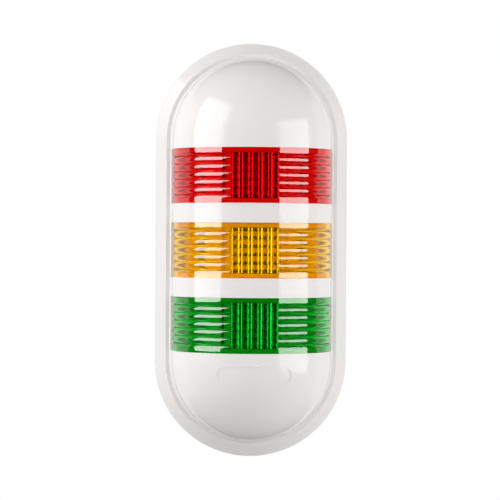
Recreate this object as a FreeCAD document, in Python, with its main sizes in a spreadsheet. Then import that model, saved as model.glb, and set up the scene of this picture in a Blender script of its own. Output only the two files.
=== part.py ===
import FreeCAD, Part
import math
import os
import re
import Sketcher

from FreeCAD import Placement, Rotation, Vector

# Wall-mounted signal light with three lens tiers, in millimetres.
# The wall is the plane y = 0, the front looks along -Y and +Z is up.
# The origin is the centre of the wall face. A depth is a distance from the wall.

os.makedirs("parts", exist_ok=True)
doc = FreeCAD.newDocument("StackLight")

# ---- driving sizes ----

sizes = {
    # cover: outline at the wall, then its section from the wall to the dome
    "body_radius": 65.0,
    "end_pitch": 150.0,
    "rim_gap": 0.8,
    "edge_depth": 3.0,
    "ledge_depth": 11.0,
    "ledge_radius": 57.7,
    "foot_radius": 55.2,
    "axis_depth": 17.0,
    "dome_radius": 53.6,
    "wall": 2.5,
    # cover: lens windows, bare recessed panel on the lower dome, snap hooks
    "tier_pitch": 49.4,
    "window_height": 36.6,
    "window_depth": 14.0,
    "land_width": 3.0,
    "land_thickness": 1.5,
    "panel_width": 49.0,
    "panel_height": 10.9,
    "panel_centre": 81.8,
    "panel_recess": 0.4,
    "hook_width": 12.0,
    "hook_grip": 0.8,
    "hook_gap": 0.2,
    "hook_pitch": 50.0,
    # lenses
    "lens_gap": 0.1,
    "lens_wall": 3.0,
    "rib_count": 5,
    "rib_pitch": 5.1,
    "rib_depth": 1.45,
    "rib_crest": 2.0,
    "flute_count": 25,
    "flute_radius": 2.7,
    "flute_reach": 1.7,
    "flute_sink": 0.1,
    "flute_end_gap": 0.3,
    # back plate
    "plate_thickness": 3.0,
    "plate_gap": 0.3,
    "step_depth": 1.8,
    "step_width": 3.3,
    "seal_wall_thickness": 2.0,
    "fixing_width": 60.0,
    "fixing_height": 190.0,
    "fixing_radius": 2.25,
    "stiffener_offset": 36.0,
    "stiffener_thickness": 1.6,
    "stiffener_height": 3.0,
    "stiffener_length": 110.0,
    # gasket between the plate's seal wall and the cover's ledge
    "gasket_width": 2.6,
    "gasket_thickness": 1.2,
    # cable entry and its grommet
    "entry_inset": 34.0,
    "entry_radius": 4.0,
    "grommet_neck": 8.0,
    "grommet_flange": 10.5,
    "grommet_lip": 1.4,
    "grommet_nose": 6.5,
    "grommet_depth": 8.0,
    "grommet_gap": 0.1,
    # board of light-emitting diodes
    "led_board_width": 64.0,
    "led_board_depth": 20.0,
    "board_thickness": 1.6,
    "post_inset": 4.5,
    "led_screw_gap": 0.55,
    "led_post_radius": 3.5,
    "led_width": 5.0,
    "led_height": 1.5,
    "led_column_pitch": 18.0,
    "led_row_pitch": 12.0,
    # light frame: channels that wall off the tiers
    "frame_gap": 0.3,
    "frame_wall": 1.5,
    "frame_depth": 22.1,
    "frame_end_gap": 0.5,
    "rail_inset": 7.3,
    "rail_width": 8.0,
    "rail_depth": 19.0,
    "frame_post_radius": 3.5,
    # driver board
    "driver_width": 44.0,
    "driver_height": 58.0,
    "driver_depth": 8.0,
    "driver_centre": 63.0,
    "driver_post_radius": 3.0,
    "driver_screw_length": 6.0,
    "driver_pilot_depth": 5.5,
    # parts on the driver board
    "terminal_pitch": 5.08,
    "terminal_count": 5,
    "terminal_depth": 10.0,
    "terminal_height": 11.0,
    "terminal_drop": 23.0,
    "wire_entry": 3.4,
    "wire_depth": 4.0,
    "clamp_radius": 1.6,
    "clamp_gap": 0.2,
    "clamp_drop": 2.6,
    "clamp_height": 1.8,
    "clamp_slot": 0.7,
    "capacitor_radius": 4.0,
    "capacitor_height": 9.0,
    "capacitor_pitch": 9.5,
    "capacitor_offset": 7.0,
    "capacitor_drop": 11.0,
    "rectifier_offset": 11.0,
    "rectifier_width": 8.0,
    "rectifier_height": 6.5,
    "rectifier_thickness": 2.6,
    "chip_pitch": 13.0,
    "chip_lift": 8.0,
    "chip_width": 5.0,
    "chip_height": 6.0,
    "chip_thickness": 1.6,
    "resistor_width": 3.2,
    "resistor_height": 1.6,
    "resistor_thickness": 0.6,
    "header_lift": 18.0,
    "header_width": 22.0,
    "header_thickness": 5.0,
    "header_socket": 8.5,
    # screws of the boards and the frame, all alike
    "screw_head_radius": 2.75,
    "screw_head_height": 2.0,
    "screw_radius": 1.25,
    "screw_length": 8.0,
    "screw_hole_radius": 1.6,
    "pilot_radius": 1.3,
    "pilot_depth": 8.0,
}

dims = doc.addObject("Spreadsheet::Sheet", "dims")
for row, (alias, size) in enumerate(sizes.items(), start=1):
    dims.set(f"A{row}", str(size))
    dims.setAlias(f"A{row}", alias)
doc.recompute()

nodes = []


def linked(formula):
    # points each size's name at its cell in the sheet
    return re.sub("[a-z_]+", lambda word: f"dims.{word[0]}" if word[0] in sizes else word[0], formula)


def worth(formula):
    return float(dims.evalExpression(linked(formula)))


def bind(thing, **formulas):
    # a double underscore in a keyword stands for the dot in a property's path
    for path, formula in formulas.items():
        thing.setExpression(path.replace("__", "."), linked(formula))
    return thing


def node(label, thing):
    thing.Label = label
    nodes.append(thing)
    return thing


# ---- sketches ----


def origin_item(body, role):
    return next(item for item in body.Origin.OriginFeatures if item.Role == role)


def new_sketch(body, name, plane, offset="0"):
    sketch = body.newObject("Sketcher::SketchObject", name)
    sketch.AttachmentSupport = [(origin_item(body, plane), "")]
    sketch.MapMode = "FlatFace"
    return bind(sketch, AttachmentOffset__Base__z=offset)


def pin(sketch, edge, end, kind, formula):
    # holds one coordinate of a point at a formula; a zero puts the point on the axis
    if formula == "0":
        axis = -2 if kind == "DistanceX" else -1
        sketch.addConstraint(Sketcher.Constraint("PointOnObject", edge, end, axis))
        return
    index = sketch.addConstraint(Sketcher.Constraint(kind, edge, end, worth(formula)))
    sketch.setExpression(f"Constraints[{index}]", linked(formula))


def draw_outline(sketch, corners, arcs=None):
    # A closed outline through the corners. arcs gives the centre of each edge that is an arc,
    # which turns counter-clockwise. Its ends are corners, so one coordinate holds the centre:
    # the one across if the ends stand above each other.
    points = [Vector(worth(across), worth(up), 0) for across, up in corners]
    centres = {edge: Vector(worth(across), worth(up), 0) for edge, (across, up) in (arcs or {}).items()}
    first = sketch.GeometryCount
    count = len(points)
    for edge, start in enumerate(points):
        end = points[(edge + 1) % count]
        if edge not in centres:
            sketch.addGeometry(Part.LineSegment(start, end))
            continue
        centre = centres[edge]
        turn = [math.atan2(point.y - centre.y, point.x - centre.x) for point in (start, end)]
        circle = Part.Circle(centre, Vector(0, 0, 1), start.distanceToPoint(centre))
        sketch.addGeometry(Part.ArcOfCircle(circle, turn[0], turn[1]))
    for edge in range(count):
        following = first + (edge + 1) % count
        sketch.addConstraint(Sketcher.Constraint("Coincident", first + edge, 2, following, 1))
    for edge, (across, up) in enumerate(corners):
        pin(sketch, first + edge, 1, "DistanceX", across)
        pin(sketch, first + edge, 1, "DistanceY", up)
    for edge, (across, up) in (arcs or {}).items():
        upright = abs(points[edge].x - points[(edge + 1) % count].x) < 1e-6
        kind, formula = ("DistanceX", across) if upright else ("DistanceY", up)
        pin(sketch, first + edge, 3, kind, formula)


def draw_box(sketch, left, right, low, high):
    draw_outline(sketch, [(left, low), (right, low), (right, high), (left, high)])


def draw_racetrack(sketch, radius, half_pitch="end_pitch / 2", centre="0"):
    # two half turns about centres half a pitch above and below the middle
    top = f"{centre} + {half_pitch}"
    low = f"{centre} - {half_pitch}"
    left = f"-({radius})"
    corners = [(radius, low), (radius, top), (left, top), (left, low)]
    draw_outline(sketch, corners, {1: ("0", top), 3: ("0", low)})


def draw_circle(sketch, across, up, radius):
    circle = Part.Circle(Vector(worth(across), worth(up), 0), Vector(0, 0, 1), worth(radius))
    edge = sketch.addGeometry(circle)
    pin(sketch, edge, 3, "DistanceX", across)
    pin(sketch, edge, 3, "DistanceY", up)
    index = sketch.addConstraint(Sketcher.Constraint("Radius", edge, worth(radius)))
    sketch.setExpression(f"Constraints[{index}]", linked(radius))


def draw_corner_circles(sketch, across, up, radius, middle="0"):
    # one circle at each corner of a rectangle
    for side in ("", "-"):
        for end in ("+", "-"):
            draw_circle(sketch, f"{side}({across})", f"{middle} {end} ({up})", radius)


# ---- features ----


def shape_feature(body, kind, name, sketch, **settings):
    feature = body.newObject(f"PartDesign::{kind}", name)
    feature.Profile = sketch
    for key, value in settings.items():
        setattr(feature, key, value)
    sketch.Visibility = False
    return feature


def pad(body, name, sketch, length, **settings):
    return bind(shape_feature(body, "Pad", name, sketch, **settings), Length=length)


def pocket(body, name, sketch, length, **settings):
    return bind(shape_feature(body, "Pocket", name, sketch, **settings), Length=length)


def half_turn(body, kind, name, sketch, **settings):
    feature = shape_feature(body, kind, name, sketch, **settings)
    feature.ReferenceAxis = (sketch, ["V_Axis"])
    feature.Angle = 180
    return feature


def mirror(body, name, features, plane):
    copy = body.newObject("PartDesign::Mirrored", name)
    copy.Originals = features
    copy.MirrorPlane = (origin_item(body, plane), [""])
    body.Tip = copy
    return copy


def repeat(body, name, feature, axis, length, count):
    pattern = body.newObject("PartDesign::LinearPattern", name)
    pattern.Originals = [feature]
    pattern.Direction = (origin_item(body, axis), [""])
    bind(pattern, Length=length, Occurrences=count)
    body.Tip = pattern
    return pattern


def block(name, corner, size):
    # a box from its low corner, as formulas
    box = doc.addObject("Part::Box", name)
    bind(box, Length=size[0], Width=size[1], Height=size[2])
    paths = ("Placement__Base__x", "Placement__Base__y", "Placement__Base__z")
    return bind(box, **dict(zip(paths, corner)))


def forward_cylinder(name, across, depth, up, radius, height):
    # a cylinder that stands on a depth and points at the front
    cylinder = doc.addObject("Part::Cylinder", name)
    cylinder.Placement.Rotation = Rotation(Vector(1, 0, 0), 90)
    bind(cylinder, Radius=radius, Height=height, Placement__Base__x=across)
    return bind(cylinder, Placement__Base__y=f"-({depth})", Placement__Base__z=up)


def cut(name, base, tool):
    result = doc.addObject("Part::Cut", name)
    result.Base = base
    result.Tool = tool
    return result


def fuse(name, *shapes):
    result = doc.addObject("Part::MultiFuse", name)
    result.Shapes = list(shapes)
    return result


def group(label, solids):
    compound = doc.addObject("Part::Compound", label)
    compound.Links = solids
    return node(label, compound)


# ---- cover ----

# the sloping skirt: depth gained for each millimetre inwards, and its wall measured along the depth
skirt_slope = "((ledge_depth - edge_depth) / (body_radius - ledge_radius))"
skirt_wall = f"(wall * sqrt(1 + {skirt_slope}^2))"
inner_edge_depth = f"edge_depth + wall * {skirt_slope} - {skirt_wall}"
inner_ledge_radius = f"body_radius - (ledge_depth - wall - edge_depth + {skirt_wall}) / {skirt_slope}"
inner_ledge_depth = "(ledge_depth - wall)"

dome_centre = {0: ("0", "-axis_depth")}
outer_section = [
    ("0", "-axis_depth - dome_radius"),
    ("dome_radius", "-axis_depth"),
    ("foot_radius", "-ledge_depth"),
    ("ledge_radius", "-ledge_depth"),
    ("body_radius", "-edge_depth"),
    ("body_radius", "-rim_gap"),
    ("0", "-rim_gap"),
]
inner_section = [
    ("0", "wall - axis_depth - dome_radius"),
    ("dome_radius - wall", "-axis_depth"),
    ("foot_radius - wall", f"-{inner_ledge_depth}"),
    (inner_ledge_radius, f"-{inner_ledge_depth}"),
    ("body_radius - wall", f"-({inner_edge_depth})"),
    ("body_radius - wall", "-rim_gap"),
    ("0", "-rim_gap"),
]


def sweep_racetrack(body, name, section, along, around):
    # carries a half section along both straight sides, then round both ends
    side_sketch = new_sketch(body, f"{name}_side_section", "XY_Plane")
    draw_outline(side_sketch, section, dome_centre)
    side = along(body, f"{name}_side", side_sketch, "end_pitch", SideType="Symmetric")
    mirror(body, f"{name}_other_side", [side], "YZ_Plane")
    end_sketch = new_sketch(body, f"{name}_end_section", "XY_Plane", "end_pitch / 2")
    draw_outline(end_sketch, section, dome_centre)
    end = half_turn(body, around, f"{name}_end", end_sketch, Reversed=True)
    mirror(body, f"{name}_other_end", [end], "XY_Plane")


cover = doc.addObject("PartDesign::Body", "cover_shell")
sweep_racetrack(cover, "outside", outer_section, pad, "Revolution")
sweep_racetrack(cover, "inside", inner_section, pocket, "Groove")

# a window for each lens, from just behind the dome's centre line to the front
tiers = {"green": "-tier_pitch", "amber": "0", "red": "tier_pitch"}
window_sketch = new_sketch(cover, "window_outline", "XZ_Plane", "window_depth")
draw_box(
    window_sketch,
    "-body_radius",
    "body_radius",
    "-tier_pitch - window_height / 2",
    "window_height / 2 - tier_pitch",
)
window = pocket(cover, "window", window_sketch, "dome_radius + axis_depth", Reversed=True)
repeat(cover, "windows", window, "Z_Axis", "2 * tier_pitch", f"{len(tiers)}")

# lands behind the plain bands of the lenses, which they are bonded to
seat_radius = "(dome_radius - lens_wall - lens_gap)"
land_radius = f"({seat_radius} - land_thickness)"
land_root = "(dome_radius - wall / 2)"
land_low = "(window_height / 2 - land_width)"
window_top = "(window_height / 2)"
land_sections = {
    "middle": [
        (land_radius, land_low),
        (land_radius, f"tier_pitch - {land_low}"),
        (seat_radius, f"tier_pitch - {land_low}"),
        (seat_radius, f"tier_pitch - {window_top}"),
        (land_root, f"tier_pitch - {window_top}"),
        (land_root, window_top),
        (seat_radius, window_top),
        (seat_radius, land_low),
    ],
    "end": [
        (land_radius, f"tier_pitch + {land_low}"),
        (land_radius, f"tier_pitch + {window_top} + land_width"),
        (land_root, f"tier_pitch + {window_top} + land_width"),
        (land_root, f"tier_pitch + {window_top}"),
        (seat_radius, f"tier_pitch + {window_top}"),
        (seat_radius, f"tier_pitch + {land_low}"),
    ],
}
for name, section in land_sections.items():
    land_sketch = new_sketch(cover, f"{name}_land_section", "YZ_Plane")
    bind(land_sketch, AttachmentOffset__Base__x="-axis_depth")
    draw_outline(land_sketch, [(f"-{across}", up) for across, up in section])
    land = half_turn(cover, "Revolution", f"{name}_land", land_sketch, Midplane=True)
    mirror(cover, f"{name}_lands", [land], "XY_Plane")

# snap hooks behind the back plate's edge
plate_radius = f"(body_radius - (plate_thickness - edge_depth + {skirt_wall}) / {skirt_slope} - plate_gap)"
hook_sketch = new_sketch(cover, "hook_outline", "XZ_Plane", "rim_gap")
for side in ("", "-"):
    for step in (-1, 0, 1):
        inner, outer = f"{side}({plate_radius} - hook_grip)", f"{side}(body_radius - wall / 2)"
        left, right = (inner, outer) if side == "" else (outer, inner)
        middle = f"{step} * hook_pitch"
        draw_box(hook_sketch, left, right, f"{middle} - hook_width / 2", f"{middle} + hook_width / 2")
pad(cover, "hooks", hook_sketch, "step_depth - rim_gap - hook_gap")

# the bare recessed panel follows the dome's surface
panel = doc.addObject("PartDesign::Body", "panel_prism")
panel_sketch = new_sketch(panel, "panel_outline", "XZ_Plane", "axis_depth")
half_length = "(panel_width - panel_height) / 2"
panel_low = "-panel_centre - panel_height / 2"
panel_high = "panel_height / 2 - panel_centre"
draw_outline(
    panel_sketch,
    [
        (f"-{half_length}", panel_low),
        (half_length, panel_low),
        (half_length, panel_high),
        (f"-{half_length}", panel_high),
    ],
    {1: (half_length, "-panel_centre"), 3: (f"-{half_length}", "-panel_centre")},
)
pad(panel, "panel_pad", panel_sketch, "dome_radius + wall")
core_end = doc.addObject("Part::Sphere", "panel_core_end")
bind(core_end, Radius="dome_radius - panel_recess")
bind(core_end, Placement__Base__y="-axis_depth", Placement__Base__z="-end_pitch / 2")
core_side = doc.addObject("Part::Cylinder", "panel_core_side")
bind(core_side, Radius="dome_radius - panel_recess", Height="end_pitch")
bind(core_side, Placement__Base__y="-axis_depth", Placement__Base__z="-end_pitch / 2")
panel_cutter = cut("panel_cutter", panel, fuse("panel_core", core_end, core_side))
node("front_cover", cut("cover", cover, panel_cutter))

# ---- lenses ----

lens_half_height = "(window_height / 2 - lens_gap)"
lens_turn = "180 deg + 2 * asin((axis_depth - window_depth - lens_gap) / dome_radius)"
groove_half_width = "(rib_pitch - rib_crest)"
first_groove = "-rib_count * rib_pitch / 2"


def add_flutes(lens, colour):
    # round upright flutes along the inside, clear of the cover's lands, one of them in the middle
    centre = "(lens_wall - dome_radius + flute_reach - flute_radius)"
    root = "(lens_wall - dome_radius - flute_sink)"
    reach = f"sqrt(flute_radius^2 - ({root} - {centre})^2)"
    half_height = f"({land_low} - flute_end_gap)"
    flute_sketch = new_sketch(lens, f"{colour}_flute_outline", "XY_Plane", f"-{half_height}")
    bind(flute_sketch, AttachmentOffset__Rotation__Angle="90 deg * (flute_count - 1) / flute_count")
    draw_outline(flute_sketch, [(reach, root), (f"-{reach}", root)], {0: ("0", centre)})
    flute = pad(lens, f"{colour}_flute", flute_sketch, f"2 * {half_height}")
    flutes = lens.newObject("PartDesign::PolarPattern", f"{colour}_flutes")
    flutes.Originals = [flute]
    flutes.Axis = (origin_item(lens, "Z_Axis"), [""])
    flutes.Reversed = True
    bind(flutes, Angle="180 deg * (flute_count - 1) / flute_count", Occurrences="flute_count")
    lens.Tip = flutes


def add_lens(colour, level):
    # a half tube with V grooves round it, which leave the ribs standing level with its plain bands
    lens = doc.addObject("PartDesign::Body", f"lens_{colour}")
    bind(lens, Placement__Base__y="-axis_depth", Placement__Base__z=level)
    wall_sketch = new_sketch(lens, f"{colour}_wall_section", "YZ_Plane")
    draw_box(wall_sketch, "-dome_radius", "lens_wall - dome_radius", f"-{lens_half_height}", lens_half_height)
    wall = shape_feature(lens, "Revolution", f"{colour}_wall", wall_sketch, Midplane=True)
    wall.ReferenceAxis = (wall_sketch, ["V_Axis"])
    bind(wall, Angle=lens_turn)
    # the V runs on past the surface to twice its width
    groove_sketch = new_sketch(lens, f"{colour}_groove_section", "YZ_Plane")
    mouth = "-dome_radius - rib_depth"
    corners = [
        ("rib_depth - dome_radius", first_groove),
        (mouth, f"{first_groove} + {groove_half_width}"),
        (mouth, f"{first_groove} - {groove_half_width}"),
    ]
    draw_outline(groove_sketch, corners)
    groove = shape_feature(lens, "Groove", f"{colour}_groove", groove_sketch)
    groove.ReferenceAxis = (groove_sketch, ["V_Axis"])
    groove.Angle = 360
    repeat(lens, f"{colour}_grooves", groove, "Z_Axis", "rib_count * rib_pitch", "rib_count + 1")
    add_flutes(lens, colour)
    return node(f"lens_{colour}", lens)


for colour, level in tiers.items():
    add_lens(colour, level)

# ---- back plate ----

plate = doc.addObject("PartDesign::Body", "back_plate")
base_sketch = new_sketch(plate, "base_outline", "XZ_Plane")
draw_racetrack(base_sketch, f"{plate_radius} - step_width")
pad(plate, "base", base_sketch, "plate_thickness")
edge_sketch = new_sketch(plate, "edge_outline", "XZ_Plane", "step_depth")
draw_racetrack(edge_sketch, plate_radius)
pad(plate, "edge", edge_sketch, "plate_thickness - step_depth")

# the seal wall stands under the middle of the cover's ledge
seal_radius = f"(foot_radius - wall + {inner_ledge_radius}) / 2"
seal_depth = f"({inner_ledge_depth} - gasket_thickness)"
seal_sketch = new_sketch(plate, "seal_wall_outline", "XZ_Plane", "plate_thickness")
draw_racetrack(seal_sketch, f"{seal_radius} + seal_wall_thickness / 2")
draw_racetrack(seal_sketch, f"{seal_radius} - seal_wall_thickness / 2")
pad(plate, "seal_wall", seal_sketch, f"{seal_depth} - plate_thickness")

# four posts for each board and for the light frame, each with a pilot hole in its end
led_screw_level = f"(tier_pitch + {land_low} + frame_wall + led_screw_gap + screw_head_radius)"
led_screws = ("led_board_width / 2 - post_inset", led_screw_level, "0")
driver_screws = ("driver_width / 2 - post_inset", "driver_height / 2 - post_inset", "-driver_centre")
frame_radius = f"({land_radius} - frame_gap)"
rail_middle = f"({frame_radius} - rail_inset)"
frame_screws = (rail_middle, "tier_pitch", "0")
posts = {
    "led": (led_screws, "led_post_radius", "led_board_depth", "pilot_depth"),
    "frame": (frame_screws, "frame_post_radius", "rail_depth", "pilot_depth"),
    "driver": (driver_screws, "driver_post_radius", "driver_depth", "driver_pilot_depth"),
}
for name, ((across, up, middle), radius, depth, pilot) in posts.items():
    post_sketch = new_sketch(plate, f"{name}_post_outline", "XZ_Plane", "plate_thickness")
    draw_corner_circles(post_sketch, across, up, radius, middle)
    pad(plate, f"{name}_posts", post_sketch, f"{depth} - plate_thickness")
    pilot_sketch = new_sketch(plate, f"{name}_pilot_outline", "XZ_Plane", depth)
    draw_corner_circles(pilot_sketch, across, up, "pilot_radius", middle)
    pocket(plate, f"{name}_pilots", pilot_sketch, pilot)

stiffener_sketch = new_sketch(plate, "stiffener_outline", "XZ_Plane", "plate_thickness")
for side in ("", "-"):
    middle = f"{side}stiffener_offset"
    draw_box(
        stiffener_sketch,
        f"{middle} - stiffener_thickness / 2",
        f"{middle} + stiffener_thickness / 2",
        "-stiffener_length / 2",
        "stiffener_length / 2",
    )
pad(plate, "stiffeners", stiffener_sketch, "stiffener_height")

fixing_sketch = new_sketch(plate, "fixing_outline", "XZ_Plane")
draw_corner_circles(fixing_sketch, "fixing_width / 2", "fixing_height / 2", "fixing_radius")
pocket(plate, "fixing_holes", fixing_sketch, "plate_thickness", Reversed=True)
entry_level = "(entry_inset - body_radius - end_pitch / 2)"
entry_sketch = new_sketch(plate, "entry_outline", "XZ_Plane")
draw_circle(entry_sketch, "0", entry_level, "grommet_neck + grommet_gap")
pocket(plate, "entry_hole", entry_sketch, "plate_thickness", Reversed=True)
lip_sketch = new_sketch(plate, "lip_outline", "XZ_Plane")
draw_circle(lip_sketch, "0", entry_level, "grommet_flange + grommet_gap")
pocket(plate, "lip_recess", lip_sketch, "grommet_lip + grommet_gap", Reversed=True)
node("back_plate", plate)

# ---- seals ----

gasket = doc.addObject("PartDesign::Body", "cover_gasket")
gasket_sketch = new_sketch(gasket, "gasket_outline", "XZ_Plane", seal_depth)
draw_racetrack(gasket_sketch, f"{seal_radius} + gasket_width / 2")
draw_racetrack(gasket_sketch, f"{seal_radius} - gasket_width / 2")
pad(gasket, "gasket_pad", gasket_sketch, "gasket_thickness")
node("cover_gasket", gasket)

grommet = doc.addObject("PartDesign::Body", "cable_grommet")
bind(grommet, Placement__Base__z=entry_level)
grommet_sketch = new_sketch(grommet, "grommet_section", "XY_Plane")
draw_outline(
    grommet_sketch,
    [
        ("entry_radius", "0"),
        ("entry_radius", "-grommet_depth"),
        ("grommet_nose", "-grommet_depth"),
        ("grommet_nose", "-plate_thickness - grommet_lip"),
        ("grommet_flange", "-plate_thickness - grommet_lip"),
        ("grommet_flange", "-plate_thickness"),
        ("grommet_neck", "-plate_thickness"),
        ("grommet_neck", "-grommet_lip"),
        ("grommet_flange", "-grommet_lip"),
        ("grommet_flange", "0"),
    ],
)
turned = shape_feature(grommet, "Revolution", "grommet_turn", grommet_sketch)
turned.ReferenceAxis = (grommet_sketch, ["V_Axis"])
node("cable_grommet", grommet)

# ---- light frame ----

# the frame runs on past both ends of the diodes' board
frame = doc.addObject("PartDesign::Body", "light_frame")
led_board_end = f"({led_screw_level} + post_inset)"
frame_end = f"({led_board_end} + frame_end_gap)"


def add_channel(name, low, high):
    # a D-shaped box that is open at the back, and its mirror image on the other side of the middle
    features = []
    for part, kind, radius, depth, inset in (
        ("outside", pad, frame_radius, "frame_depth", "0"),
        ("inside", pocket, f"({frame_radius} - frame_wall)", "(frame_depth - frame_wall)", "frame_wall"),
    ):
        sketch = new_sketch(frame, f"{name}_{part}_outline", "XY_Plane", f"{low} + {inset}")
        reach = f"sqrt({radius}^2 - ({depth} - axis_depth)^2)"
        draw_outline(sketch, [(f"-{reach}", f"-{depth}"), (reach, f"-{depth}")], dome_centre)
        turned_up = {"Reversed": kind is pocket}
        features.append(kind(frame, f"{name}_{part}", sketch, f"{high} - ({low}) - 2 * {inset}", **turned_up))
    mirror(frame, f"{name}_mirrored", features, "XY_Plane")


add_channel("middle_channel", land_low, f"(tier_pitch - {land_low})")
add_channel("end_channel", f"tier_pitch + {land_low}", frame_end)
rail_sketch = new_sketch(frame, "rail_outline", "XZ_Plane", "rail_depth")
for side in ("", "-"):
    middle = f"{side}{rail_middle}"
    draw_box(
        rail_sketch,
        f"{middle} - rail_width / 2",
        f"{middle} + rail_width / 2",
        f"-{frame_end}",
        frame_end,
    )
pad(frame, "rails", rail_sketch, "frame_depth - rail_depth")
frame_hole_sketch = new_sketch(frame, "frame_hole_outline", "XZ_Plane", "rail_depth")
draw_corner_circles(frame_hole_sketch, *frame_screws[:2], "screw_hole_radius")
pocket(frame, "frame_holes", frame_hole_sketch, "frame_depth - rail_depth", Reversed=True)
node("light_frame", frame)

# ---- boards ----


def add_board(name, width, height, depth, screws):
    across, up, middle = screws
    board = doc.addObject("PartDesign::Body", name)
    outline = new_sketch(board, f"{name}_outline", "XZ_Plane", depth)
    low = f"{middle} - {height} / 2"
    high = f"{middle} + {height} / 2"
    draw_box(outline, f"-{width} / 2", f"{width} / 2", low, high)
    draw_corner_circles(outline, across, up, "screw_hole_radius", middle)
    pad(board, f"{name}_pad", outline, "board_thickness")
    return node(name, board)


led_board_height = f"(2 * {led_board_end})"
add_board("led_board", "led_board_width", led_board_height, "led_board_depth", led_screws)
add_board("driver_board", "driver_width", "driver_height", "driver_depth", driver_screws)
led_face = "(led_board_depth + board_thickness)"
driver_face = "(driver_depth + board_thickness)"


def chip(name, across, up, width, height, thickness, face):
    # a flat package lying on a board's face, centred on a place
    corner = (f"{across} - {width} / 2", f"-({face} + {thickness})", f"{up} - {height} / 2")
    return block(name, corner, (width, thickness, height))


for colour, level in tiers.items():
    leds = []
    for column in (-1, 0, 1):
        for row in (-1, 1):
            across = f"{column} * led_column_pitch"
            up = f"{level} + {row} * led_row_pitch / 2"
            leds.append(chip(f"led_{colour}", across, up, "led_width", "led_width", "led_height", led_face))
    group(f"leds_{colour}", leds)

# ---- parts of the driver board ----

terminal_level = "-driver_centre - terminal_drop"
terminal_width = "terminal_count * terminal_pitch"
first_way = "-(terminal_count - 1) * terminal_pitch / 2"
terminal = doc.addObject("PartDesign::Body", "terminal_block")
terminal_sketch = new_sketch(terminal, "terminal_outline", "XZ_Plane", driver_face)
draw_box(
    terminal_sketch,
    f"-{terminal_width} / 2",
    f"{terminal_width} / 2",
    f"{terminal_level} - terminal_depth / 2",
    f"{terminal_level} + terminal_depth / 2",
)
pad(terminal, "terminal_pad", terminal_sketch, "terminal_height")
all_ways = "(terminal_count - 1) * terminal_pitch"
wire_sketch = new_sketch(terminal, "wire_outline", "XY_Plane", f"{terminal_level} - terminal_depth / 2")
draw_box(
    wire_sketch,
    f"{first_way} - wire_entry / 2",
    f"{first_way} + wire_entry / 2",
    f"-{driver_face} - wire_depth - wire_entry / 2",
    f"wire_entry / 2 - {driver_face} - wire_depth",
)
wire = pocket(terminal, "wire_entry", wire_sketch, "terminal_depth / 2", Reversed=True)
repeat(terminal, "wire_entries", wire, "X_Axis", all_ways, "terminal_count")
well_sketch = new_sketch(terminal, "well_outline", "XZ_Plane", f"{driver_face} + terminal_height")
draw_circle(well_sketch, first_way, terminal_level, "clamp_radius + clamp_gap")
well = pocket(terminal, "screw_well", well_sketch, "clamp_drop + clamp_height")
repeat(terminal, "screw_wells", well, "X_Axis", all_ways, "terminal_count")
node("terminal_block", terminal)

# clamp screws at the bottom of the wells, each with a driver slot
clamp_seat = f"({driver_face} + terminal_height - clamp_drop - clamp_height)"
clamps = []
for way in range(sizes["terminal_count"]):
    across = f"{first_way} + {way} * terminal_pitch"
    screw_size = ("clamp_radius", "clamp_height")
    screw = forward_cylinder("clamp_screw", across, clamp_seat, terminal_level, *screw_size)
    slot_corner = (
        f"{across} - clamp_radius - clamp_gap",
        f"-{clamp_seat} - clamp_height",
        f"{terminal_level} - clamp_slot / 2",
    )
    slot_size = ("2 * (clamp_radius + clamp_gap)", "clamp_slot", "clamp_slot")
    slot = block("clamp_slot_tool", slot_corner, slot_size)
    clamps.append(cut("clamp", screw, slot))
group("terminal_screws", clamps)

capacitors = []
for side in (-1, 1):
    across = f"capacitor_offset + {side} * capacitor_pitch / 2"
    level = "-driver_centre - capacitor_drop"
    size = ("capacitor_radius", "capacitor_height")
    capacitors.append(forward_cylinder("capacitor", across, driver_face, level, *size))
group("capacitors", capacitors)

rectifier = chip(
    "bridge_rectifier",
    "-rectifier_offset",
    "-driver_centre - capacitor_drop",
    "rectifier_width",
    "rectifier_height",
    "rectifier_thickness",
    driver_face,
)
node("bridge_rectifier", rectifier)

# one driver chip for each tier, and one resistor beside each
chips = []
resistors = []
for column in (-1, 0, 1):
    across = f"{column} * chip_pitch"
    chip_level = "chip_lift - driver_centre"
    chip_size = ("chip_width", "chip_height", "chip_thickness")
    chips.append(chip("driver_chip", across, chip_level, *chip_size, driver_face))
    resistor_level = "chip_lift - chip_height - driver_centre"
    resistor_size = ("resistor_width", "resistor_height", "resistor_thickness")
    resistors.append(chip("resistor", across, resistor_level, *resistor_size, driver_face))
group("driver_chips", chips)
group("resistors", resistors)

header_level = "header_lift - driver_centre"
header_size = ("header_width", "header_thickness")
socket = chip("header_socket", "0", header_level, *header_size, "header_socket", driver_face)
node("header_socket", socket)
plug_height = f"(led_board_depth - {driver_face} - header_socket)"
plug_face = f"({driver_face} + header_socket)"
plug = chip("header_plug", "0", header_level, *header_size, plug_height, plug_face)
node("header_plug", plug)

# ---- screws ----


def add_screws(label, places, face, length):
    # four pan head screws, their heads standing on a face
    across, up, middle = places
    screws = []
    for side in ("", "-"):
        for end in ("+", "-"):
            place = (f"{side}({across})", f"{middle} {end} ({up})")
            under = f"({face} - {length})"
            head_size = ("screw_head_radius", "screw_head_height")
            head = forward_cylinder("head", place[0], face, place[1], *head_size)
            shank = forward_cylinder("shank", place[0], under, place[1], "screw_radius", length)
            screws.append(fuse("screw", head, shank))
    group(label, screws)


add_screws("led_board_screws", led_screws, led_face, "screw_length")
add_screws("light_frame_screws", frame_screws, "frame_depth", "screw_length")
add_screws("driver_board_screws", driver_screws, driver_face, "driver_screw_length")

# ---- checks and export ----

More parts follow.
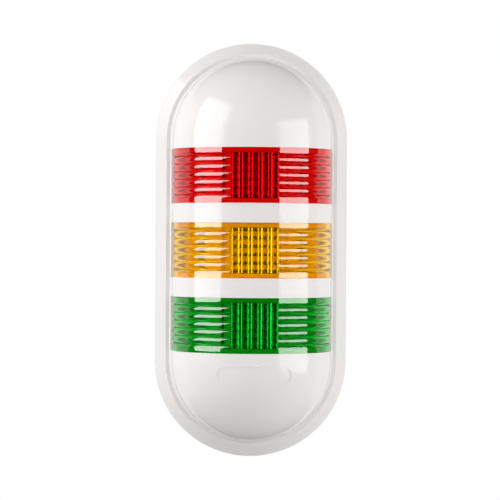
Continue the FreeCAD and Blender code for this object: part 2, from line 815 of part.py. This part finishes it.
doc.recompute()
for thing in doc.Objects:
    if "Invalid" in thing.State or "Error" in thing.State:
        raise ValueError(f"{thing.Name} did not recompute: {thing.State}")
for thing in nodes:
    shape = thing.Shape
    if shape.isNull() or not shape.isValid():
        raise ValueError(f"{thing.Label} has no valid shape")
    for solid in shape.Solids:
        if solid.Volume <= 0:
            raise ValueError(f"{thing.Label} has a solid without volume")
    box = shape.BoundBox
    edges = (box.XMin, box.XMax, box.YMin, box.YMax, box.ZMin, box.ZMax)
    print(thing.Label, len(shape.Solids), round(shape.Volume, 1), [round(edge, 2) for edge in edges])
    shape.exportStep(f"parts/{thing.Label}.step")
print(len(nodes), "nodes written")
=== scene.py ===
# Wall-mounted stack light: finishes for the CAD pieces, finely moulded lenses, studio and camera.
import math

import bmesh
import bpy
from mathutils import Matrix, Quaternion, Vector


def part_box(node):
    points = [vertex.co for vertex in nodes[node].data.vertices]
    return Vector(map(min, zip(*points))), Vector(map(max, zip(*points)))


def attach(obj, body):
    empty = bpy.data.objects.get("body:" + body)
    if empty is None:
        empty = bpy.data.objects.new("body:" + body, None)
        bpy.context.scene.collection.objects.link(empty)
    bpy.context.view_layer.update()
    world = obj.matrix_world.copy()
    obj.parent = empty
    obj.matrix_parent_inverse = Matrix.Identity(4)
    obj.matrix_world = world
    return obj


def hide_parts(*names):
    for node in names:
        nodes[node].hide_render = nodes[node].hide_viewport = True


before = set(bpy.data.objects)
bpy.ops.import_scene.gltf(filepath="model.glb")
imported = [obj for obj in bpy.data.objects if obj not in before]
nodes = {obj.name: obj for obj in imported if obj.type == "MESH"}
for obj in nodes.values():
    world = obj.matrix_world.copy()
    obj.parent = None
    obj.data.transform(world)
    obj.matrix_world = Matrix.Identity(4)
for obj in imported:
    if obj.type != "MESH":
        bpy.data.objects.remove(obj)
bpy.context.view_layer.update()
print("frame loaded:", len(nodes), "nodes")

mm = 0.001


def srgb(red, green, blue):
    # screen values 0-255 to the linear colour that the shader takes
    def linear(value):
        value = value / 255
        return value / 12.92 if value <= 0.04045 else ((value + 0.055) / 1.055) ** 2.4
    return (linear(red), linear(green), linear(blue), 1.0)


def newMaterial(name, colour, roughness, **settings):
    material = bpy.data.materials.new(name)
    material.use_nodes = True
    shader = material.node_tree.nodes["Principled BSDF"]
    shader.inputs["Base Color"].default_value = colour
    shader.inputs["Roughness"].default_value = roughness
    for socket, value in settings.items():
        shader.inputs[socket].default_value = value
    return material


def addNode(owner, kind, **values):
    # a node in a material or the world, with values for its sockets or its own settings
    node = owner.node_tree.nodes.new(kind)
    for key, value in values.items():
        if key in node.inputs:
            node.inputs[key].default_value = value
        else:
            setattr(node, key, value)
    return node


def addGrain(material, scale, strength, distance):
    # a faint moulded grain as bump
    tree = material.node_tree
    place = addNode(material, "ShaderNodeTexCoord")
    noise = addNode(material, "ShaderNodeTexNoise", Scale=scale, Detail=4.0)
    bump = addNode(material, "ShaderNodeBump", Strength=strength, Distance=distance)
    tree.links.new(place.outputs["Object"], noise.inputs["Vector"])
    tree.links.new(noise.outputs["Fac"], bump.inputs["Height"])
    tree.links.new(bump.outputs["Normal"], tree.nodes["Principled BSDF"].inputs["Normal"])


# the light frame and the boards: painted shade down the middle of the red and green tiers, pale at
# the sides and in the amber tier
inside = {
    "pale": srgb(250, 250, 248),
    # the colour of the painted shade down the middle of the red and green tiers
    "paintedShade": srgb(14, 16, 15),
    "roughness": 0.5,
    "paintedShadeHalfWidth": 16.0 * mm,
    "amberHalfHeight": 15.25 * mm,
}


def insidePaintedShadeMaterial(name):
    material = newMaterial(name, inside["pale"], inside["roughness"])
    tree = material.node_tree
    place = addNode(material, "ShaderNodeTexCoord")
    split = addNode(material, "ShaderNodeSeparateXYZ")
    tree.links.new(place.outputs["Object"], split.inputs[0])

    def splitAt(axis, edge):
        # mixes two colours at a distance from the middle along one axis
        away = addNode(material, "ShaderNodeMath", operation="ABSOLUTE")
        beyond = addNode(material, "ShaderNodeMath", operation="GREATER_THAN")
        mix = addNode(material, "ShaderNodeMix", data_type="RGBA")
        beyond.inputs[1].default_value = inside[edge]
        tree.links.new(split.outputs[axis], away.inputs[0])
        tree.links.new(away.outputs[0], beyond.inputs[0])
        tree.links.new(beyond.outputs[0], mix.inputs["Factor"])
        return mix

    # painted shade: dark in the middle of the red and green tiers, pale in the amber tier and at the
    # sides
    middle = splitAt("Z", "amberHalfHeight")
    middle.inputs["A"].default_value = inside["pale"]
    middle.inputs["B"].default_value = inside["paintedShade"]
    whole = splitAt("X", "paintedShadeHalfWidth")
    whole.inputs["B"].default_value = inside["pale"]
    tree.links.new(middle.outputs["Result"], whole.inputs["A"])
    tree.links.new(whole.outputs["Result"], tree.nodes["Principled BSDF"].inputs["Base Color"])
    return material


def dress(node, material):
    mesh = nodes[node].data
    mesh.materials.clear()
    mesh.materials.append(material)


white = newMaterial("whiteGloss", srgb(232, 229, 227), 0.12, **{"Specular IOR Level": 0.16})
grey = newMaterial("greyPlate", srgb(238, 237, 235), 0.5)
addGrain(grey, scale=900.0, strength=0.15, distance=0.2 * mm)
rubber = newMaterial("blackRubber", srgb(28, 28, 29), 0.65)
# these two finishes carry the painted shade down the middle of the red and green tiers
channelPaintedShade = insidePaintedShadeMaterial("channelPlasticPaintedShade")
laminatePaintedShade = insidePaintedShadeMaterial("boardLaminatePaintedShade")
diode = newMaterial("diodePackage", srgb(230, 222, 180), 0.3)
terminalGreen = newMaterial("terminalGreen", srgb(48, 120, 74), 0.45)
zinc = newMaterial("zincPlate", srgb(196, 198, 202), 0.3, Metallic=1.0)
sleeve = newMaterial("capacitorSleeve", srgb(30, 31, 48), 0.3)
resin = newMaterial("chipResin", srgb(24, 24, 25), 0.5)
headerCream = newMaterial("headerCream", srgb(226, 220, 200), 0.5)

finishes = {
    "front_cover": white,
    "back_plate": grey,
    "cover_gasket": rubber,
    "cable_grommet": rubber,
    "light_frame": channelPaintedShade,
    "led_board": laminatePaintedShade,
    "driver_board": laminatePaintedShade,
    "leds_red": diode,
    "leds_amber": diode,
    "leds_green": diode,
    "terminal_block": terminalGreen,
    "terminal_screws": zinc,
    "capacitors": sleeve,
    "bridge_rectifier": resin,
    "driver_chips": resin,
    "resistors": resin,
    "header_socket": headerCream,
    "header_plug": headerCream,
    "led_board_screws": zinc,
    "driver_board_screws": zinc,
    "light_frame_screws": zinc,
}
for node, material in finishes.items():
    dress(node, material)
print("CAD pieces dressed")


# half tubes with ribs outside and flutes inside
lensShape = {
    "wall": 3.0 * mm,
    "ribs": 5,
    "ribPitch": 5.1 * mm,
    "ribDepth": 1.45 * mm,
    "ribSteps": 18,
    "ribHalfWidth": 2.58 * mm,
    "flutes": 25,
    "fluteRadius": 2.7 * mm,
    "fluteReach": 1.7 * mm,
    "fluteSteps": 12,
    "fluteEnd": 15.0 * mm,
    "fluteLip": 0.05 * mm,
    # the flutes are whole up to the first angle from the middle and gone at the second
    "middleEnd": math.radians(16.0),
    "sideStart": math.radians(23.2),
    "turn": math.radians(186.2),
    "crease": math.radians(35),
    "ior": 1.585,
    "roughness": 0.02,
}
lensColours = {
    "red": (srgb(246, 3, 10), "red_lens"),
    "amber": (srgb(255, 200, 5), "amber_lens"),
    "green": (srgb(4, 190, 45), "green_lens"),
}
# the lenses' axis stands this far in front of the wall
axisDepth = 17.0 * mm


def middleShare(away, start, end):
    # 1 in the lens' middle, falling to 0 at its sides
    return min(1.0, max(0.0, (end - away) / (end - start)))


def ribProfile(radius, halfHeight):
    # outer side from bottom to top: plain band, round ribs between sharp valleys, plain band
    shape = lensShape
    zone = shape["ribs"] * shape["ribPitch"] / 2
    points = [(radius, -halfHeight)]
    steps = shape["ribSteps"]
    total = (shape["ribs"] + 1) * steps
    valley = shape["ribPitch"] / 2 / shape["ribHalfWidth"]
    for step in range(total + 1):
        up = -zone - shape["ribPitch"] / 2 + step * shape["ribPitch"] / steps
        # each rib is the outer part of an ellipse through two valleys and a crest
        local = ((up + zone) % shape["ribPitch"] - shape["ribPitch"] / 2) / shape["ribHalfWidth"]
        drop = shape["ribDepth"] * (1 - math.sqrt(1 - local ** 2)) / (1 - math.sqrt(1 - valley ** 2))
        points.append((radius - drop, up))
    points.append((radius, halfHeight))
    return points


def fluteAngles(inner):
    # angles round the tube, each with how far a flute stands in from the wall there
    shape = lensShape
    pitch = math.pi / shape["flutes"]
    centre = inner - shape["fluteReach"] + shape["fluteRadius"]
    # a flute's arc ends where its circle crosses the wall's inside
    cosine = (inner ** 2 + centre ** 2 - shape["fluteRadius"] ** 2) / (2 * inner * centre)
    half = math.acos(cosine)
    end = shape["turn"] / 2
    found = [(-end, 0.0)]
    for flute in range(shape["flutes"]):
        middle = (flute - (shape["flutes"] - 1) / 2) * pitch
        share = middleShare(abs(middle), shape["middleEnd"], shape["sideStart"])
        for step in range(shape["fluteSteps"] + 1):
            # steps crowd towards the flute's steep edges
            offset = -half * math.cos(math.pi * step / shape["fluteSteps"])
            along = centre * math.cos(offset)
            chord = math.sqrt(max(0.0, shape["fluteRadius"] ** 2 - (centre * math.sin(offset)) ** 2))
            found.append((middle + offset, max(0.0, inner - (along - chord)) * share))
    found.append((end, 0.0))
    return found


def addLens(colour):
    node = f"lens_{colour}"
    low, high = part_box(node)
    radius = (high.x - low.x) / 2
    middle = (low.z + high.z) / 2
    halfHeight = (high.z - low.z) / 2
    outer = ribProfile(radius, halfHeight)
    inner = radius - lensShape["wall"]
    fluteEnd = lensShape["fluteEnd"]
    lipEnd = fluteEnd + lensShape["fluteLip"]
    mesh = bmesh.new()
    rings = []
    for angle, dip in fluteAngles(inner):
        section = list(outer)
        section += [
            (inner, halfHeight),
            (inner, lipEnd),
            (inner - dip, fluteEnd),
            (inner - dip, -fluteEnd),
            (inner, -lipEnd),
            (inner, -halfHeight),
        ]
        across, forward = math.sin(angle), math.cos(angle)
        places = [(r * across, -r * forward - axisDepth, up + middle) for r, up in section]
        rings.append([mesh.verts.new(place) for place in places])
    count = len(rings[0])
    for ring, following in zip(rings, rings[1:]):
        for index in range(count):
            after = (index + 1) % count
            mesh.faces.new((ring[index], following[index], following[after], ring[after]))
    mesh.faces.new(list(reversed(rings[0])))
    mesh.faces.new(rings[-1])
    bmesh.ops.recalc_face_normals(mesh, faces=mesh.faces)
    data = bpy.data.meshes.new(f"{node}_moulding")
    mesh.to_mesh(data)
    mesh.free()
    moulding = bpy.data.objects.new(f"{node}_moulding", data)
    bpy.context.scene.collection.objects.link(moulding)
    for face in data.polygons:
        face.use_smooth = len(face.vertices) == 4
    tint, slotName = lensColours[colour]
    settings = {"IOR": lensShape["ior"], "Transmission Weight": 1.0}
    plastic = newMaterial(f"{colour}Polycarbonate", tint, lensShape["roughness"], **settings)
    data.materials.append(plastic)
    bpy.context.view_layer.objects.active = moulding
    moulding.select_set(True)
    bpy.ops.object.shade_smooth_by_angle(angle=lensShape["crease"])
    moulding.select_set(False)
    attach(moulding, "root")
    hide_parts(node)
    print(node, "moulded:", len(data.polygons), "faces")


for colour in lensColours:
    addLens(colour)


studio = {
    "floorSize": 3.0,
    "floorDrop": 0.45,
    "floorTone": 0.6,
    "floorRoughness": 0.6,
    "boxDistance": 1.25,
    # each softbox in degrees: azimuth from the front (right is positive), elevation, width, height
    "leftBox": (-69.0, 22.0, 48.0, 53.0),
    "rightBox": (61.0, 5.0, 48.0, 40.0),
    "leftLight": 3.1,
    "rightLight": 3.0,
    "leftGlow": 9.0,
    "rightGlow": 7.5,
    "fill": 0.42,
    "wallRadius": 2.4,
    "wallTone": 0.02,
    # the walls are open behind the object, past this depth and up to this height
    "openingDepth": 0.6,
    "openingHalfHeight": 1.3,
    "throughLens": 1.0,
}


def direction(azimuth, elevation):
    turn, rise = math.radians(azimuth), math.radians(elevation)
    return Vector((math.sin(turn) * math.cos(rise), -math.cos(turn) * math.cos(rise), math.sin(rise)))


def isOpening(face):
    centre = face.calc_center_median()
    return centre.y > studio["openingDepth"] and abs(centre.z) < studio["openingHalfHeight"]


def addSoftbox(name, level, glowLevel, azimuth, elevation, width, height):
    # the lamp lights the object, and a bright cloth of the same size stands in its gloss
    distance = studio["boxDistance"]
    light = bpy.data.lights.new(name, "AREA")
    light.shape = "RECTANGLE"
    light.size = 2 * distance * math.tan(math.radians(width / 2))
    light.size_y = 2 * distance * math.tan(math.radians(height / 2))
    light.energy = level * math.pi * light.size * light.size_y
    lamp = bpy.data.objects.new(name, light)
    aim = direction(azimuth, elevation)
    cloth = bpy.data.meshes.new(f"{name}Cloth")
    x, y = light.size / 2, light.size_y / 2
    cloth.from_pydata([(-x, -y, 0), (x, -y, 0), (x, y, 0), (-x, y, 0)], [], [(0, 1, 2, 3)])
    front = bpy.data.objects.new(f"{name}Cloth", cloth)
    glow = bpy.data.materials.new(f"{name}Glow")
    glow.use_nodes = True
    glow.node_tree.nodes.remove(glow.node_tree.nodes["Principled BSDF"])
    emission = addNode(glow, "ShaderNodeEmission", Strength=glowLevel)
    output = glow.node_tree.nodes["Material Output"]
    glow.node_tree.links.new(emission.outputs[0], output.inputs["Surface"])
    cloth.materials.append(glow)
    for thing in (lamp, front):
        bpy.context.scene.collection.objects.link(thing)
        thing.location = aim * distance + Vector((0, -axisDepth, 0))
        thing.rotation_mode = "QUATERNION"
        thing.rotation_quaternion = aim.to_track_quat("Z", "Y")
        thing.visible_camera = False
    lamp.visible_glossy = False
    front.visible_diffuse = False
    front.visible_shadow = False
    front.visible_transmission = False


addSoftbox("leftSoftbox", studio["leftLight"], studio["leftGlow"], *studio["leftBox"])
addSoftbox("rightSoftbox", studio["rightLight"], studio["rightGlow"], *studio["rightBox"])

bpy.ops.mesh.primitive_plane_add(size=studio["floorSize"], location=(0, 0, -studio["floorDrop"]))
floor = bpy.context.object
floor.name = "floor"
floorColour = (studio["floorTone"],) * 3 + (1.0,)
floor.data.materials.append(newMaterial("paleFloor", floorColour, studio["floorRoughness"]))
floor.visible_glossy = False
floor.visible_transmission = False

# walls all round but for the opening: dark in the object's gloss, white to rays that pass a lens
walls = bmesh.new()
bmesh.ops.create_uvsphere(walls, u_segments=48, v_segments=24, radius=studio["wallRadius"])
opening = [face for face in walls.faces if isOpening(face)]
bmesh.ops.delete(walls, geom=opening, context="FACES")
wallData = bpy.data.meshes.new("studioWalls")
walls.to_mesh(wallData)
walls.free()
studioWalls = bpy.data.objects.new("studioWalls", wallData)
bpy.context.scene.collection.objects.link(studioWalls)
wallPaint = newMaterial("darkWalls", (studio["wallTone"],) * 3 + (1.0,), 1.0)
wallPath = addNode(wallPaint, "ShaderNodeLightPath")
wallLevel = addNode(wallPaint, "ShaderNodeMath", operation="MULTIPLY")
wallLevel.inputs[1].default_value = studio["throughLens"]
wallTree = wallPaint.node_tree
wallShader = wallTree.nodes["Principled BSDF"]
wallShader.inputs["Emission Color"].default_value = (1.0, 1.0, 1.0, 1.0)
wallTree.links.new(wallPath.outputs["Is Transmission Ray"], wallLevel.inputs[0])
wallTree.links.new(wallLevel.outputs[0], wallShader.inputs["Emission Strength"])
wallData.materials.append(wallPaint)
studioWalls.visible_camera = False
studioWalls.visible_diffuse = False

# the surroundings are white to the camera, to gloss and through a lens, and a plain fill to the rest
world = bpy.data.worlds.new("surroundings")
bpy.context.scene.world = world
world.use_nodes = True
sky = world.node_tree.nodes["Background"]
sky.inputs["Color"].default_value = (1, 1, 1, 1)
path = addNode(world, "ShaderNodeLightPath")
cameraOrGloss = addNode(world, "ShaderNodeMath", operation="ADD")
anySeen = addNode(world, "ShaderNodeMath", operation="ADD", use_clamp=True)
level = addNode(world, "ShaderNodeMapRange", **{"To Min": studio["fill"], "To Max": 1.0})
worldLinks = world.node_tree.links
worldLinks.new(path.outputs["Is Camera Ray"], cameraOrGloss.inputs[0])
worldLinks.new(path.outputs["Is Glossy Ray"], cameraOrGloss.inputs[1])
worldLinks.new(cameraOrGloss.outputs[0], anySeen.inputs[0])
worldLinks.new(path.outputs["Is Transmission Ray"], anySeen.inputs[1])
worldLinks.new(anySeen.outputs[0], level.inputs["Value"])
worldLinks.new(level.outputs["Result"], sky.inputs["Strength"])
print("stage set")


cameraView = {
    "azimuth": -2.4,
    "aside": -0.0005,
    "height": 0.0073,
    "distance": 1.75,
    "lens": 185.1,
    "roll": 0.35,
}
camera = bpy.data.objects.new("camera", bpy.data.cameras.new("camera"))
bpy.context.scene.collection.objects.link(camera)
camera.data.lens = cameraView["lens"]
spot = direction(cameraView["azimuth"], 0) * cameraView["distance"]
spot.z = cameraView["height"]
camera.location = spot
camera.location.x += cameraView["aside"]
camera.rotation_mode = "QUATERNION"
facing = (-spot).to_track_quat("-Z", "Y")
camera.rotation_quaternion = facing @ Quaternion((0, 0, 1), math.radians(cameraView["roll"]))
bpy.context.scene.camera = camera
bpy.context.scene.view_settings.view_transform = "Standard"

# enough bounces to pass both walls of a lens and come back
bounces = {
    "max_bounces": 24,
    "transmission_bounces": 20,
    "glossy_bounces": 12,
}
for setting, count in bounces.items():
    setattr(bpy.context.scene.cycles, setting, count)
print("camera set")
